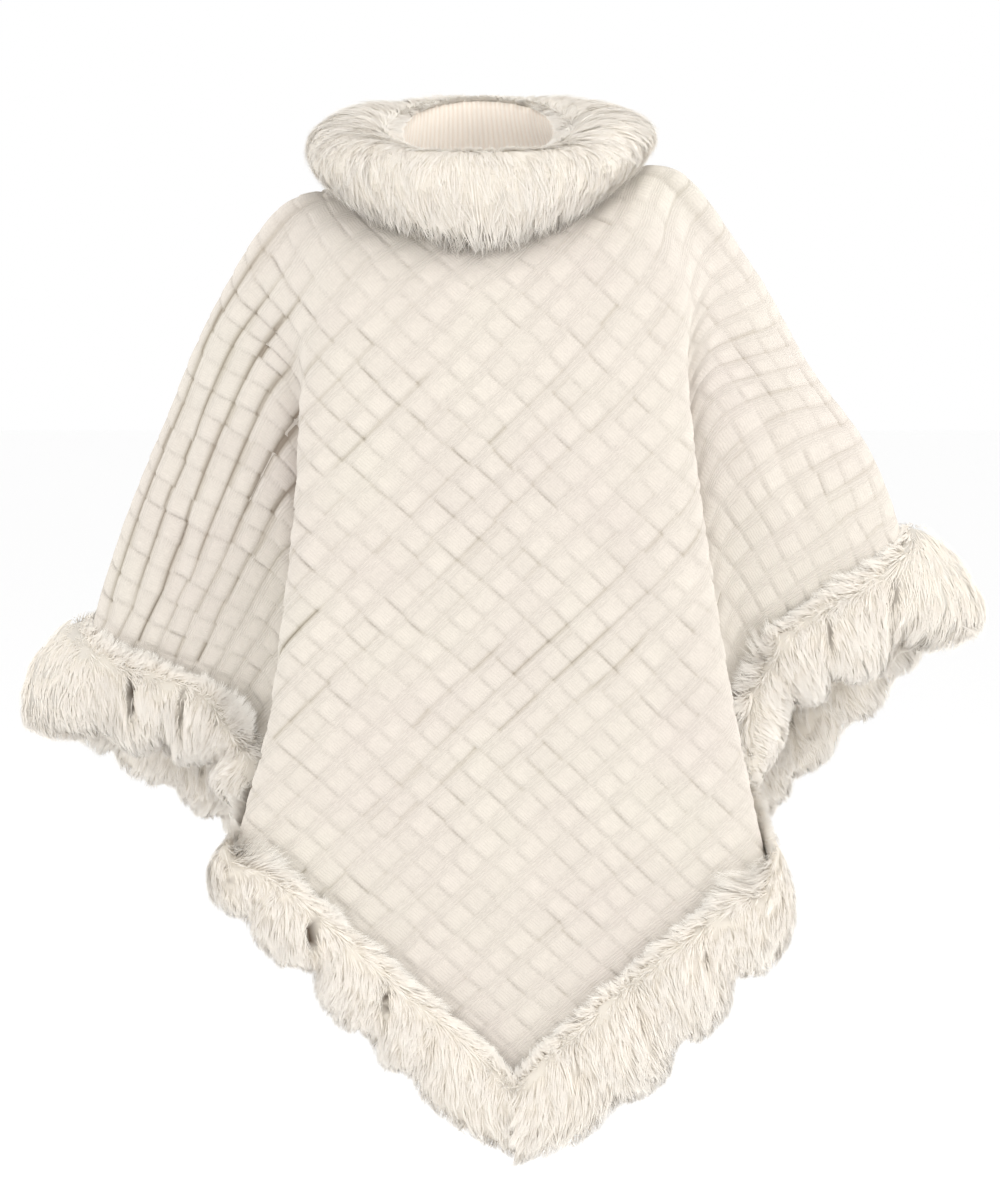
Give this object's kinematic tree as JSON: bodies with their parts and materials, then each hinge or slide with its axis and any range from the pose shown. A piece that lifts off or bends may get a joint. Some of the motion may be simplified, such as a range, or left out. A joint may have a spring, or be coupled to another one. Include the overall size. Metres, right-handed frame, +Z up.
{
  "type": "fur-trimmed knit poncho",
  "caption": "Basket-knit poncho in its worn form, with a fur collar and a fur hem, open at the neck and below, hanging to a point at front and back.",
  "frame": {"origin": "between the shoulder tops, under the middle of the neck, where the wearer's shoulders hold the poncho", "axes": "+Z up, front towards -Y, +X towards the raised arm, on the right in a front view"},
  "size_m": [0.8333, 0.3309, 0.9123],
  "materials": {
    "basket_knit": "warm off-white basket-weave knit, matt and soft",
    "rib_knit": "warm off-white rib knit, matt",
    "pile_fur": "long cream fur pile with a soft sheen"
  },
  "bodies": {
    "root": {"front_panel": "basket_knit", "back_panel": "basket_knit", "collar_knit": "rib_knit", "collar_fur": "pile_fur", "hem_fur_front_left": "pile_fur", "hem_fur_front_right": "pile_fur", "hem_fur_back_left": "pile_fur", "hem_fur_back_right": "pile_fur"}
  },
  "joints": []
}
